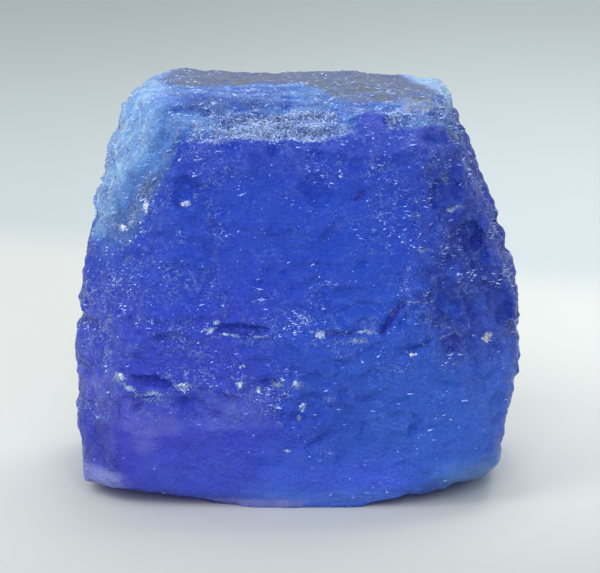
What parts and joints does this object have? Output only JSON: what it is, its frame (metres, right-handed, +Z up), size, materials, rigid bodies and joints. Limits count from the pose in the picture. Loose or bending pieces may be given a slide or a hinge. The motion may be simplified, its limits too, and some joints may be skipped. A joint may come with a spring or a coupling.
{
  "type": "halite crystal",
  "caption": "Blocky crystal of deep blue halite (rock salt): a dissolved cleavage block with terraced top, sunken front panel, slots and pits, standing on a flat base.",
  "frame": {"origin": "centre of the block's footprint on the surface that it stands on", "axes": "+X to the right along the widest side, +Y to the back, +Z up; the face with the sunken panel looks along -Y"},
  "size_m": [0.0516, 0.0418, 0.0458],
  "materials": {
    "blue_halite": "translucent deep blue with a frosted, pitted surface, paler at thin corners"
  },
  "bodies": {
    "root": {"crystal": "blue_halite"}
  },
  "joints": []
}
